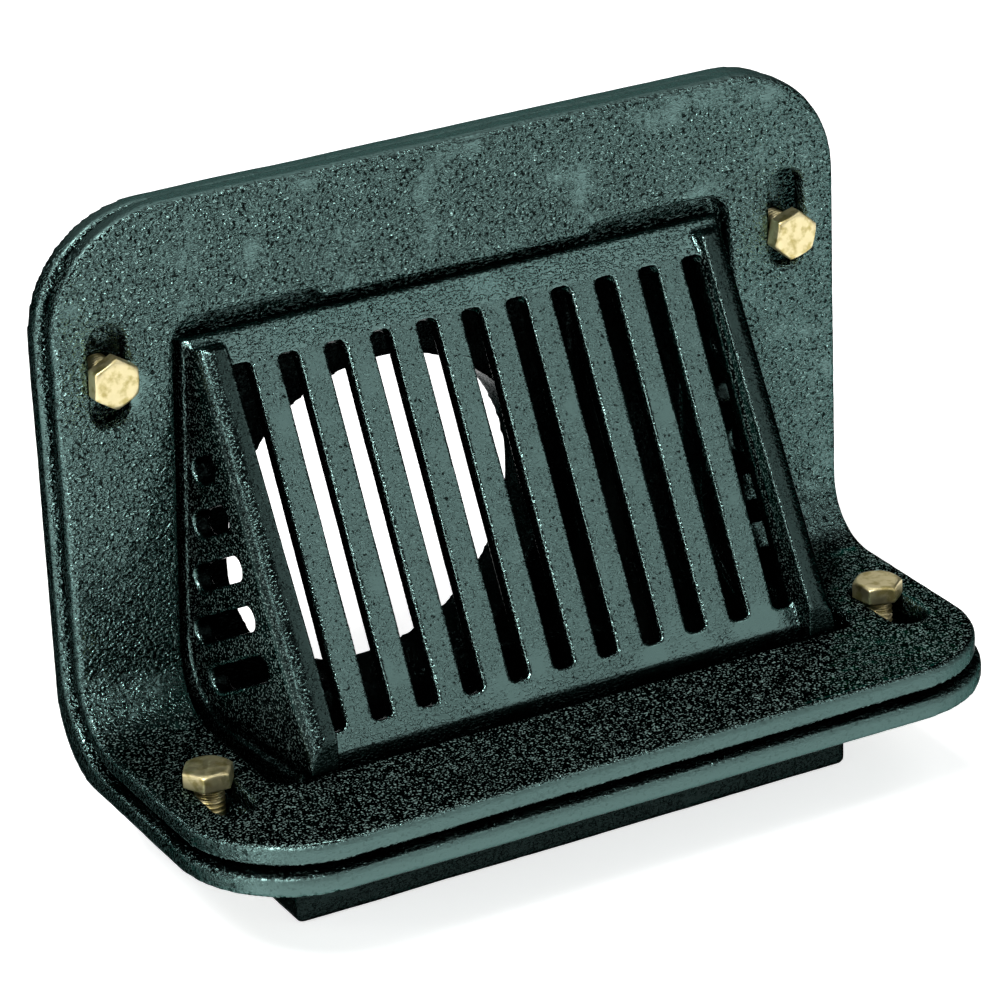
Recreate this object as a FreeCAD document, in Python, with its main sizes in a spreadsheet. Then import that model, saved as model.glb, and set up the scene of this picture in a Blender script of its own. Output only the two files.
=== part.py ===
import FreeCAD, Part
import math
import os
import Sketcher
from FreeCAD import Placement, Rotation, Vector

# Parapet roof drain, in millimetres, +Z up. The drawing datum is the line where the clamp's wall face (y = 0)
# and deck face (z = 0) would meet, with the roof towards -Y. Every piece is then placed so that the origin is
# the centre of the outlet's open end.

# Sizes that can be set by themselves are numbers. What follows from them is a formula in the same sheet, made of
# those sizes and a named gap or lap.
DIMENSIONS = {
    # Flashing clamp
    "clamp_width": 273.0,
    "clamp_height": 164.0,
    "clamp_reach": 106.3,
    "clamp_thickness": 6.35,
    "clamp_edge_bevel": 1.2,
    "corner_radius": 38.0,
    "cove_radius": 19.0,
    # Opening that the grate stands in
    "opening_top_gap": 6.7,
    "opening_front_gap": 3.1,
    "opening_head_gap": 4.2,
    "opening_foot_gap": 9.7,
    "opening_top": "=grate_top + opening_top_gap",
    "opening_reach": "=foot_reach + opening_front_gap",
    "opening_top_width": "=grate_face_width + 2 * opening_head_gap",
    "opening_foot_width": "=grate_face_width + 2 * opening_foot_gap",
    "opening_corner": 8.0,
    "tongue_width": 92.0,
    "tongue_drop": 3.2,
    "tongue_round": 2.0,
    # Bolts and their slots, in the land between the opening and the clamp's edge
    "slot_width": 12.2,
    "slot_length": 32.0,
    "bolt_inset": 0.65,
    "bolt_spread": "=(opening_foot_width + clamp_width) / 2 - 2 * bolt_inset",
    "wall_slot_height": 112.8,
    "deck_slot_reach": 57.5,
    "left_bolt_slide": 0.3,
    "right_bolt_slide": 4.5,
    "deck_bolt_slide": 6.5,
    "left_bolt_height": "=wall_slot_height - left_bolt_slide",
    "right_bolt_height": "=wall_slot_height - right_bolt_slide",
    "deck_bolt_reach": "=deck_slot_reach - deck_bolt_slide",
    "bolt_diameter": 9.5,
    "bolt_length": 25.4,
    "bolt_head_flats": 14.3,
    "bolt_head_height": 5.6,
    "bolt_head_land": 13.6,
    "tap_clearance": 0.1,
    "boss_diameter": 20.0,
    "boss_height": 6.0,
    # Body flange and the raised seat under the clamp
    "membrane_gap": 2.75,
    "flange_thickness": 7.0,
    "flange_lip": 1.5,
    "flange_drop": 1.6,
    "flange_edge_bevel": 0.9,
    "bend_radius": 25.0,
    "seat_margin": 1.0,
    "seat_width": 8.0,
    # Sump, chamber and outlet
    "chamber_side_lap": 1.5,
    "chamber_top_lap": 4.1,
    "chamber_front_lap": 4.7,
    "chamber_width": "=grate_face_width - 2 * chamber_side_lap",
    "chamber_top": "=grate_top - chamber_top_lap",
    "chamber_front": "=foot_reach - chamber_front_lap",
    "chamber_back_drop": 22.5,
    "chamber_back_top": "=chamber_top - chamber_back_drop",
    "chamber_depth": 58.4,
    "chamber_taper_side": 20.0,
    "chamber_taper_run": 36.0,
    "chamber_wall": 7.0,
    "chamber_round": 3.0,
    "sump_edge_round": 1.5,
    "outlet_bore": 114.9,
    "outlet_height": 14.8,
    "outlet_reach": 84.2,
    "outlet_step": 0.8,
    "hub_chamfer": 2.0,
    # Grate
    "crease_height": 110.9,
    "top_band": 7.7,
    "grate_top": "=crease_height + top_band",
    "grate_top_setback": 1.5,
    "crease_reach": 6.45,
    "foot_reach": 61.7,
    "foot_height": 3.0,
    "slope_length": "=sqrt((foot_reach - crease_reach) ^ 2 + (crease_height - foot_height) ^ 2)",
    "grate_face_width": 185.0,
    "grate_wall": 6.0,
    "cheek_draft": 6.5,
    "heel_relief": 4.0,
    "crown_round": 5.0,
    "plinth_height": 7.0,
    "plinth_lip": 1.2,
    "plinth_round": 25.0,
    "crest_width": 9.7,
    "crest_spread": "=grate_face_width - 2 * crest_width",
    "crest_land": 3.4,
    "crest_depth": 11.0,
    "crest_top_reach": 5.5,
    "crest_lead": 12.3,
    "crest_foot_reach": "=foot_reach + crest_lead",
    "nose_lead": 5.8,
    "nose_reach": "=foot_reach + nose_lead",
    "nose_lift": 1.2,
    "face_slot_count": 11,
    "face_slot_width": 6.75,
    "face_slot_corner": 1.8,
    "face_slot_foot": 6.9,
    "face_slot_head": 0.2,
    "face_slot_length": "=slope_length - face_slot_foot - face_slot_head",
    "face_slot_land": 0.675,
    "face_slot_pitch": "=(crest_spread - 2 * face_slot_land - face_slot_width) / (face_slot_count - 1)",
    "side_slot_count": 5,
    "side_slot_start": 28.3,
    "side_slot_pitch": 15.6,
    "side_slot_width": 8.0,
    "side_slot_lap": 0.6,
    "side_slot_front": "=grate_wall + side_slot_lap",
    "side_slot_back": 1.5,
    "side_slot_floor": 11.0,
}

# Bolts as (side, leg), with the way each hex head happens to be turned, in degrees
BOLT_PLACES = [(-1, "wall"), (1, "wall"), (-1, "deck"), (1, "deck")]
BOLT_TURNS = [27, 18, 56, 39]

# Places that several pieces share, as expressions on the sheet
SEAT = "(dims.clamp_thickness + dims.membrane_gap)"
FLANGE_MIDDLE = "(dims.clamp_thickness + dims.membrane_gap + dims.flange_thickness / 2)"
FLANGE_BACK = "(dims.clamp_thickness + dims.membrane_gap + dims.flange_thickness)"
FLANGE_WIDTH = "(dims.clamp_width + 2 * dims.flange_lip)"
FLANGE_HEIGHT = "(dims.clamp_height - dims.flange_drop)"
FLANGE_REACH = "(dims.clamp_reach + dims.flange_lip)"
HUB_RADIUS = "(dims.outlet_bore / 2 + dims.chamber_wall)"
FLOOR = "(dims.outlet_height - dims.outlet_bore / 2 + dims.outlet_step)"
SLOPE_RUN = "((dims.foot_reach - dims.crease_reach) / (dims.crease_height - dims.foot_height))"
SLOPE = f"atan({SLOPE_RUN})"
CREST_RUN = "((dims.crest_foot_reach - dims.crest_top_reach) / dims.grate_top)"
CREST_SLOPE = f"atan({CREST_RUN})"
HEEL_RADIUS = f"(dims.cove_radius + {SEAT} + dims.heel_relief)"
SPAN = "(2 * dims.clamp_width)"

X_AXIS = Vector(1, 0, 0)
Y_AXIS = Vector(0, 1, 0)
Z_AXIS = Vector(0, 0, 1)
TOUCH = 0.01


def make_sheet(doc):
    """Spreadsheet of the dimensions, one alias to a cell."""
    sheet = doc.addObject("Spreadsheet::Sheet", "dims")
    for row, name in enumerate(DIMENSIONS, 1):
        sheet.set(f"A{row}", name)
        sheet.setAlias(f"B{row}", name)
    for row, value in enumerate(DIMENSIONS.values(), 1):
        sheet.set(f"B{row}", str(value))
    doc.recompute()
    return sheet


def make_body(doc, name):
    """Body whose drawing datum lies below and in front of the outlet's open end."""
    body = doc.addObject("PartDesign::Body", name)
    body.setExpression("Placement.Base.y", "-dims.outlet_reach")
    body.setExpression("Placement.Base.z", "-dims.outlet_height")
    return body


def make_sketch(body, name, role):
    """Sketch on one of the body's own origin planes."""
    plane = next(item for item in body.Origin.OriginFeatures if item.Role == role)
    sketch = body.newObject("Sketcher::SketchObject", name)
    sketch.AttachmentSupport = [(plane, "")]
    sketch.MapMode = "FlatFace"
    return sketch


def lean_sketch(sketch, angle, offsets):
    """Lean a sketch back about X by an expression, and move its origin by expressions."""
    sketch.AttachmentOffset = Placement(Vector(), Rotation(-X_AXIS, 1.0))
    sketch.setExpression("AttachmentOffset.Rotation.Angle", angle)
    shift_sketch(sketch, offsets)


def shift_sketch(sketch, offsets):
    """Move a sketch's origin in its own frame, each axis by an expression."""
    for axis, expression in offsets.items():
        sketch.setExpression(f"AttachmentOffset.Base.{axis}", expression)


def value_of(owner, expression):
    """Number that an expression on the sheet stands for."""
    result = owner.evalExpression(expression)
    return float(getattr(result, "Value", result))


def bind_point(sketch, geometry, position, point):
    """Tie a sketch point's two coordinates to expressions."""
    for kind, expression in zip(("DistanceX", "DistanceY"), point):
        value = value_of(sketch, expression)
        index = sketch.addConstraint(Sketcher.Constraint(kind, -1, 1, geometry, position, value))
        sketch.setExpression(f"Constraints[{index}]", expression)


def draw_polygon(sketch, points):
    """Closed outline of straight runs with every corner tied to a pair of expressions."""
    first = sketch.GeometryCount
    corners = [Vector(value_of(sketch, x), value_of(sketch, y), 0) for x, y in points]
    count = len(corners)
    for index, corner in enumerate(corners):
        sketch.addGeometry(Part.LineSegment(corner, corners[(index + 1) % count]), False)
    for index in range(count):
        following = first + (index + 1) % count
        sketch.addConstraint(Sketcher.Constraint("Coincident", first + index, 2, following, 1))
    for index, point in enumerate(points):
        bind_point(sketch, first + index, 1, point)


def draw_circle(sketch, centre, radius):
    """Circle with centre and radius tied to expressions."""
    middle = Vector(value_of(sketch, centre[0]), value_of(sketch, centre[1]), 0)
    circle = Part.Circle(middle, Z_AXIS, value_of(sketch, radius))
    geometry = sketch.addGeometry(circle, False)
    bind_point(sketch, geometry, 3, centre)
    index = sketch.addConstraint(Sketcher.Constraint("Radius", geometry, circle.Radius))
    sketch.setExpression(f"Constraints[{index}]", radius)


def draw_slot(sketch, start, end, radius):
    """Round-ended slot between two centres, all tied to expressions."""
    a = Vector(value_of(sketch, start[0]), value_of(sketch, start[1]), 0)
    b = Vector(value_of(sketch, end[0]), value_of(sketch, end[1]), 0)
    size = value_of(sketch, radius)
    heading = math.atan2(b.y - a.y, b.x - a.x)
    side = Vector(-math.sin(heading), math.cos(heading), 0) * size
    quarter = math.pi / 2
    far = Part.ArcOfCircle(Part.Circle(b, Z_AXIS, size), heading - quarter, heading + quarter)
    near = Part.ArcOfCircle(Part.Circle(a, Z_AXIS, size), heading + quarter, heading + 3 * quarter)
    far_arc = sketch.addGeometry(far, False)
    left = sketch.addGeometry(Part.LineSegment(b + side, a + side), False)
    near_arc = sketch.addGeometry(near, False)
    right = sketch.addGeometry(Part.LineSegment(a - side, b - side), False)
    loop = (far_arc, left, near_arc, right)
    for index, geometry in enumerate(loop):
        following = loop[(index + 1) % len(loop)]
        sketch.addConstraint(Sketcher.Constraint("Tangent", geometry, 2, following, 1))
    bind_point(sketch, near_arc, 3, start)
    bind_point(sketch, far_arc, 3, end)
    sketch.addConstraint(Sketcher.Constraint("Equal", far_arc, near_arc))
    index = sketch.addConstraint(Sketcher.Constraint("Radius", far_arc, size))
    sketch.setExpression(f"Constraints[{index}]", radius)


def draw_round_box(sketch, low, high, radius):
    """Upright rectangle with rounded corners, drawn from the centres of two opposite ones, all tied to expressions."""
    left, bottom = [value_of(sketch, item) for item in low]
    right, top = [value_of(sketch, item) for item in high]
    size = value_of(sketch, radius)
    quarter = math.pi / 2
    arcs = []
    for index, (x, y) in enumerate([(right, bottom), (right, top), (left, top), (left, bottom)]):
        circle = Part.Circle(Vector(x, y, 0), Z_AXIS, size)
        arcs.append(sketch.addGeometry(Part.ArcOfCircle(circle, (index - 1) * quarter, index * quarter), False))
    for index, arc in enumerate(arcs):
        following = arcs[(index + 1) % len(arcs)]
        ends = sketch.Geometry[arc].EndPoint, sketch.Geometry[following].StartPoint
        line = sketch.addGeometry(Part.LineSegment(*ends), False)
        sketch.addConstraint(Sketcher.Constraint("Tangent", arc, 2, line, 1))
        sketch.addConstraint(Sketcher.Constraint("Tangent", line, 2, following, 1))
        sketch.addConstraint(Sketcher.Constraint("Horizontal" if index % 2 else "Vertical", line))
    for arc in arcs[1:]:
        sketch.addConstraint(Sketcher.Constraint("Equal", arcs[0], arc))
    bind_point(sketch, arcs[3], 3, low)
    bind_point(sketch, arcs[1], 3, high)
    index = sketch.addConstraint(Sketcher.Constraint("Radius", arcs[0], size))
    sketch.setExpression(f"Constraints[{index}]", radius)


def draw_round_over(sketch, side, edge, radius, far):
    """Outline of all that lies outside a quarter round, which begins at the edge of a land along X."""
    begin = (f"{side}{edge}", "0")
    end = (f"{side}({edge} + {radius})", radius)
    rest = [(f"{side}{far}", radius), (f"{side}{far}", f"-{radius}"), (f"{side}{edge}", f"-{radius}")]
    chain = [end] + rest + [begin]
    spots = [Vector(value_of(sketch, x), value_of(sketch, y), 0) for x, y in chain]
    lines = [sketch.addGeometry(Part.LineSegment(a, b), False) for a, b in zip(spots, spots[1:])]
    for line, following in zip(lines, lines[1:]):
        sketch.addConstraint(Sketcher.Constraint("Coincident", line, 2, following, 1))
    for line, point in zip(lines, chain):
        bind_point(sketch, line, 1, point)
    bind_point(sketch, lines[-1], 2, begin)
    size = value_of(sketch, radius)
    middle = Vector(spots[-1].x, size, 0)
    turn = 0 if spots[-1].x > 0 else -math.pi / 2
    circle = Part.Circle(middle, Z_AXIS, size)
    arc = sketch.addGeometry(Part.ArcOfCircle(circle, turn - math.pi / 2, turn), False)
    first, last = (1, 2) if spots[-1].x > 0 else (2, 1)
    sketch.addConstraint(Sketcher.Constraint("Coincident", arc, first, lines[-1], 2))
    sketch.addConstraint(Sketcher.Constraint("Coincident", arc, last, lines[0], 1))
    index = sketch.addConstraint(Sketcher.Constraint("DistanceX", -1, 1, arc, 3, middle.x))
    sketch.setExpression(f"Constraints[{index}]", begin[0])


def add_pad(body, sketch, length, midplane=True):
    """Pad of a sketch, by default to both sides of its plane."""
    pad = body.newObject("PartDesign::Pad", sketch.Name + "_pad")
    pad.Profile = sketch
    pad.Midplane = midplane
    pad.setExpression("Length", length)
    body.Document.recompute()
    return pad


def add_pocket(body, sketch, length, midplane=True):
    """Pocket of a sketch that has to take something away."""
    before = body.Shape.Volume
    pocket = body.newObject("PartDesign::Pocket", sketch.Name + "_pocket")
    pocket.Profile = sketch
    pocket.Midplane = midplane
    pocket.setExpression("Length", length)
    body.Document.recompute()
    if body.Shape.Volume >= before:
        raise RuntimeError(sketch.Name + " cut nothing")
    return pocket


def edges_near(body, points, along):
    """Names of the straight edges that run along a direction and pass closest to the given points."""
    straight = []
    for index, edge in enumerate(body.Tip.Shape.Edges, 1):
        if edge.Curve.TypeId == "Part::GeomLine" and abs(edge.Curve.Direction.dot(along)) > 1 - TOUCH:
            straight.append((f"Edge{index}", edge))
    names = []
    for point in points:
        spot = Part.Vertex(point)
        names.append(min(straight, key=lambda item: item[1].distToShape(spot)[0])[0])
    return names


def outline_of(body, belongs):
    """Names of the edges round a group of faces, without those between two of the group."""
    shape = body.Tip.Shape
    group = [face for face in shape.Faces if belongs(face)]
    names = []
    for index, edge in enumerate(shape.Edges, 1):
        sharing = [face for face in group if any(edge.isSame(other) for other in face.Edges)]
        if len(sharing) == 1:
            names.append(f"Edge{index}")
    return names


def flat_at(face, normal, offset):
    """Whether a face is flat, looks along a normal and lies at an offset along it."""
    if face.Surface.TypeId != "Part::GeomPlane" or face.normalAt(0, 0).dot(normal) < 1 - TOUCH:
        return False
    return abs(face.CenterOfMass.dot(normal) - offset) < TOUCH


def l_skin(depth, radius):
    """Test for the faces of an L plate that look at the roof: wall face, deck face and the cove between them."""
    def belongs(face):
        if face.Surface.TypeId == "Part::GeomCylinder":
            return abs(face.Surface.Axis.x) > 1 - TOUCH and abs(face.Surface.Radius - radius) < TOUCH
        return flat_at(face, -Y_AXIS, -depth) or flat_at(face, Z_AXIS, -depth)
    return belongs


def add_fillet(body, name, edges, radius):
    """Rounding of named edges of the last feature."""
    fillet = body.newObject("PartDesign::Fillet", name)
    fillet.Base = (fillet.BaseFeature, edges)
    fillet.setExpression("Radius", radius)
    body.Document.recompute()
    return fillet


def add_chamfer(body, name, edges, sizes):
    """Bevel of named edges of the last feature, with one size for both sides or one for each."""
    chamfer = body.newObject("PartDesign::Chamfer", name)
    chamfer.Base = (chamfer.BaseFeature, edges)
    if len(sizes) > 1:
        chamfer.ChamferType = "Two distances"
        chamfer.setExpression("Size2", sizes[1])
    chamfer.setExpression("Size", sizes[0])
    body.Document.recompute()
    return chamfer


def l_plate(body, name, face, thickness, width, height, reach, inner, outer):
    """Plate bent to an L, its near faces a given depth behind the datum, with rounded bend and corners."""
    section = make_sketch(body, name + "_section", "YZ_Plane")
    back = f"({face} + {thickness})"
    draw_polygon(section, [
        (face, height), (back, height), (back, f"-{back}"),
        (f"-{reach}", f"-{back}"), (f"-{reach}", f"-{face}"), (face, f"-{face}"),
    ])
    add_pad(body, section, width)
    near = value_of(section, face)
    far = value_of(section, back)
    add_fillet(body, name + "_cove", edges_near(body, [Vector(0, near, -near)], X_AXIS), inner)
    add_fillet(body, name + "_bend", edges_near(body, [Vector(0, far, -far)], X_AXIS), outer)
    half = value_of(section, width) / 2
    tip = value_of(section, height)
    front = -value_of(section, reach)
    wall_corners = edges_near(body, [Vector(half, near, tip), Vector(-half, near, tip)], Y_AXIS)
    deck_corners = edges_near(body, [Vector(half, front, -near), Vector(-half, front, -near)], Z_AXIS)
    add_fillet(body, name + "_corners", wall_corners + deck_corners, "dims.corner_radius")


def cut_opening(body, name, margin, depth):
    """Opening across both legs of an L plate, a margin wider all round than the clamp's own."""
    half_top = f"(dims.opening_top_width / 2 + {margin})"
    half_foot = f"(dims.opening_foot_width / 2 + {margin})"
    top = f"(dims.opening_top + {margin})"
    hang = f"({top} - dims.tongue_drop)"
    step = "(dims.tongue_width / 2)"
    slant = "(dims.tongue_width / 2 + dims.tongue_drop)"
    front = f"(dims.opening_reach + {margin})"
    wall = make_sketch(body, name + "_wall", "XZ_Plane")
    draw_polygon(wall, [
        (f"-{half_foot}", "0"), (half_foot, "0"), (half_top, top), (slant, top), (step, hang),
        (f"-{step}", hang), (f"-{slant}", top), (f"-{half_top}", top),
    ])
    add_pocket(body, wall, SPAN)
    deck = make_sketch(body, name + "_deck", "XY_Plane")
    draw_polygon(deck, [
        (f"-{half_foot}", f"-{front}"), (half_foot, f"-{front}"), (half_foot, depth), (f"-{half_foot}", depth),
    ])
    add_pocket(body, deck, depth, midplane=False)
    wide = value_of(wall, half_top)
    foot = value_of(wall, half_foot)
    crown = value_of(wall, top)
    nose = -value_of(deck, front)
    upper = edges_near(body, [Vector(wide, 0, crown), Vector(-wide, 0, crown)], Y_AXIS)
    lower = edges_near(body, [Vector(foot, nose, 0), Vector(-foot, nose, 0)], Z_AXIS)
    add_fillet(body, name + "_corners", upper + lower, "dims.opening_corner")
    bends = [(value_of(wall, slant), crown), (value_of(wall, step), value_of(wall, hang))]
    tongue = [Vector(side * x, 0, z) for side in (-1, 1) for x, z in bends]
    add_fillet(body, name + "_tongue", edges_near(body, tongue, Y_AXIS), "dims.tongue_round")


def make_clamp(doc):
    """L-shaped plate that grips the roofing against the flange."""
    body = make_body(doc, "flashing_clamp")
    l_plate(body, "clamp", "0", "dims.clamp_thickness", "dims.clamp_width", "dims.clamp_height",
            "dims.clamp_reach", "dims.cove_radius", "(dims.cove_radius + dims.clamp_thickness)")
    cut_opening(body, "clamp_opening", "0", "(dims.clamp_thickness * 2)")
    half_run = "(dims.slot_length - dims.slot_width) / 2"
    for leg, role, place in (("wall", "XZ_Plane", "dims.wall_slot_height"),
                             ("deck", "XY_Plane", "-dims.deck_slot_reach")):
        slots = make_sketch(body, "clamp_slots_" + leg, role)
        for side in ("-", ""):
            x = f"{side}dims.bolt_spread / 2"
            draw_slot(slots, (x, f"{place} - {half_run}"), (x, f"{place} + {half_run}"), "dims.slot_width / 2")
        add_pocket(body, slots, "dims.clamp_thickness * 3")
    rim = outline_of(body, l_skin(0, value_of(body, "dims.cove_radius")))
    add_chamfer(body, "clamp_rim", rim, ("dims.clamp_edge_bevel",))
    return body


def make_flange(doc):
    """L-shaped flange of the body, solid behind the clamp."""
    body = make_body(doc, "body_flange")
    cove = f"(dims.cove_radius + {SEAT})"
    l_plate(body, "flange", SEAT, "dims.flange_thickness", FLANGE_WIDTH, FLANGE_HEIGHT, FLANGE_REACH,
            cove, "dims.bend_radius")
    rim = outline_of(body, l_skin(value_of(body, SEAT), value_of(body, cove)))
    add_chamfer(body, "flange_rim", rim, ("dims.flange_edge_bevel",))
    return body


def make_seat(doc):
    """Raised seat round the opening, where the clamp bears and the roofing stops."""
    body = make_body(doc, "body_seat")
    outer = "(dims.seat_margin + dims.seat_width)"
    section = make_sketch(body, "seat_section", "YZ_Plane")
    near = "dims.clamp_thickness"
    top = f"(dims.opening_top + {outer})"
    front = f"(dims.opening_reach + {outer})"
    draw_polygon(section, [
        (near, top), (FLANGE_MIDDLE, top), (FLANGE_MIDDLE, f"-{FLANGE_MIDDLE}"), (f"-{front}", f"-{FLANGE_MIDDLE}"),
        (f"-{front}", f"-{near}"), (near, f"-{near}"),
    ])
    add_pad(body, section, f"dims.opening_foot_width + 2 * {outer}")
    depth = value_of(section, near)
    cove = edges_near(body, [Vector(0, depth, -depth)], X_AXIS)
    add_fillet(body, "seat_cove", cove, "dims.cove_radius + dims.clamp_thickness")
    cut_opening(body, "seat_opening", "dims.seat_margin", f"{FLANGE_MIDDLE} * 2")
    return body


def chamber_block(doc, name, wall, mouth, rounding):
    """Catch box from a mouth in the flange to the outlet, grown by a wall thickness, with rounded lower edges."""
    body = make_body(doc, name)
    profile = make_sketch(body, name + "_profile", "YZ_Plane")
    front = f"-(dims.chamber_front + {wall})"
    floor = f"({FLOOR} - {wall})"
    back = f"(dims.chamber_depth + {wall})"
    top = f"(dims.chamber_top + {wall})"
    draw_polygon(profile, [
        (front, f"-{mouth}"), (front, floor), (back, floor), (back, f"(dims.chamber_back_top + {wall})"),
        (FLANGE_BACK, top), (mouth, top), (mouth, f"-{mouth}"),
    ])
    width = f"(dims.chamber_width + 2 * {wall})"
    add_pad(body, profile, width)
    half = value_of(profile, width) / 2
    y_back = value_of(profile, back)
    y_front = value_of(profile, front)
    z_floor = value_of(profile, floor)
    rear = edges_near(body, [Vector(half, y_back, 0), Vector(-half, y_back, 0)], Z_AXIS)
    add_chamfer(body, name + "_taper", rear, ("dims.chamber_taper_side", "dims.chamber_taper_run"))
    sides = edges_near(body, [Vector(half, y_front, z_floor), Vector(-half, y_front, z_floor)], Z_AXIS)
    add_fillet(body, name + "_corners", sides, rounding)
    base = outline_of(body, lambda face: flat_at(face, -Z_AXIS, -z_floor))
    add_fillet(body, name + "_floor", base, rounding)
    return body


def make_hub(doc, name, radius):
    """Round outlet along Y from its open end to the chamber's back wall."""
    body = make_body(doc, name)
    ring = make_sketch(body, name + "_ring", "XZ_Plane")
    shift_sketch(ring, {"z": "-dims.outlet_reach"})
    draw_circle(ring, ("0", "dims.outlet_height"), radius)
    add_pad(body, ring, "dims.outlet_reach - dims.chamber_depth", midplane=False)
    return body


def place_on_leg(item, side, leg, depth):
    """Put an item at a bolt's place, a depth behind the clamp's face, with its +Z pointing out of that face."""
    if leg == "wall":
        height = "dims.left_bolt_height" if side < 0 else "dims.right_bolt_height"
        item.Placement = Placement(Vector(), Rotation(X_AXIS, 90))
        item.setExpression("Placement.Base.y", f"{depth} - dims.outlet_reach")
        item.setExpression("Placement.Base.z", f"{height} - dims.outlet_height")
    else:
        item.setExpression("Placement.Base.y", "-dims.deck_bolt_reach - dims.outlet_reach")
        item.setExpression("Placement.Base.z", f"-{depth} - dims.outlet_height")
    item.setExpression("Placement.Base.x", f"{side} * dims.bolt_spread / 2")


def bolt_rods(doc, name, radius, depth, height):
    """Cylinder at each bolt's place, rising from a depth behind the clamp's face."""
    rods = []
    for side, leg in BOLT_PLACES:
        rod = doc.addObject("Part::Cylinder", name)
        rod.setExpression("Radius", radius)
        rod.setExpression("Height", height)
        place_on_leg(rod, side, leg, depth)
        rods.append(rod)
    doc.recompute()
    return rods


def fuse(doc, name, shapes):
    """One solid from several."""
    joined = doc.addObject("Part::MultiFuse", name)
    joined.Shapes = shapes
    doc.recompute()
    return joined


def cut(doc, name, base, tool):
    """One shape less another."""
    result = doc.addObject("Part::Cut", name)
    result.Base = base
    result.Tool = tool
    doc.recompute()
    return result


def make_drain_body(doc):
    """Flange, seat, chamber, hub and bosses as one casting, less its hollow and bolt holes."""
    hub = make_hub(doc, "body_hub", HUB_RADIUS)
    open_end = outline_of(hub, lambda face: flat_at(face, Y_AXIS, value_of(hub, "dims.outlet_reach")))
    add_chamfer(hub, "hub_rim", open_end, ("dims.hub_chamfer",))
    pattern = [
        make_flange(doc),
        make_seat(doc),
        chamber_block(doc, "body_chamber", "dims.chamber_wall", FLANGE_MIDDLE, "dims.sump_edge_round"),
        hub,
    ]
    pattern += bolt_rods(doc, "body_boss", "dims.boss_diameter / 2", f"({FLANGE_BACK} + dims.boss_height)",
                         "dims.boss_height + dims.flange_thickness / 2")
    core = [
        chamber_block(doc, "body_core", "0", "0", "dims.chamber_round"),
        make_hub(doc, "body_bore", "dims.outlet_bore / 2"),
    ]
    core += bolt_rods(doc, "body_hole", "dims.bolt_diameter / 2 + dims.tap_clearance",
                      f"({FLANGE_BACK} + 2 * dims.boss_height)", "3 * dims.boss_height + dims.flange_thickness")
    return cut(doc, "drain_body", fuse(doc, "body_pattern", pattern), fuse(doc, "body_hollow", core))


def add_wedge(body, name, width, profile):
    """Solid of the grate's side profile whose two sides spread outwards from the sloped face to the back."""
    section = make_sketch(body, name + "_section", "XY_Plane")
    lean_sketch(section, SLOPE, {"y": "-dims.foot_reach", "z": "dims.foot_height"})
    ahead = "dims.plinth_height"
    behind = "dims.grate_top"
    narrow = f"({width} / 2 - {ahead} * tan(dims.cheek_draft))"
    broad = f"({width} / 2 + {behind} * tan(dims.cheek_draft))"
    draw_polygon(section, [
        (f"-{narrow}", f"-{ahead}"), (narrow, f"-{ahead}"), (broad, behind), (f"-{broad}", behind),
    ])
    add_pad(body, section, SPAN)
    trim = make_sketch(body, name + "_trim", "YZ_Plane")
    draw_polygon(trim, [(f"-{SPAN}", f"-{SPAN}"), (SPAN, f"-{SPAN}"), (SPAN, SPAN), (f"-{SPAN}", SPAN)])
    draw_polygon(trim, profile)
    add_pocket(body, trim, SPAN)


def round_heel(body, name):
    """Rounded back lower edge that clears the flange's cove."""
    deep = value_of(body, SEAT)
    add_fillet(body, name, edges_near(body, [Vector(0, deep, -deep)], X_AXIS), HEEL_RADIUS)


def round_crown(body, name):
    """Rounded back upper edge, behind the band."""
    deep = value_of(body, SEAT)
    high = value_of(body, "dims.grate_top")
    add_fillet(body, name, edges_near(body, [Vector(0, deep, high)], X_AXIS), "dims.crown_round")


def make_grate_block(doc):
    """Outer form of the grate: sloped face, band above it, cheeks and their raised front edges."""
    body = make_body(doc, "grate_block")
    foot = "-dims.foot_reach"
    add_wedge(body, "grate_wedge", "dims.grate_face_width", [
        (SEAT, "dims.grate_top"), ("dims.grate_top_setback", "dims.grate_top"),
        ("-dims.crease_reach", "dims.crease_height"), (foot, "dims.foot_height"), (foot, f"-{SEAT}"),
        (SEAT, f"-{SEAT}"),
    ])
    round_heel(body, "grate_heel")
    round_crown(body, "grate_crown")
    add_crests(body)
    return body


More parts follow.
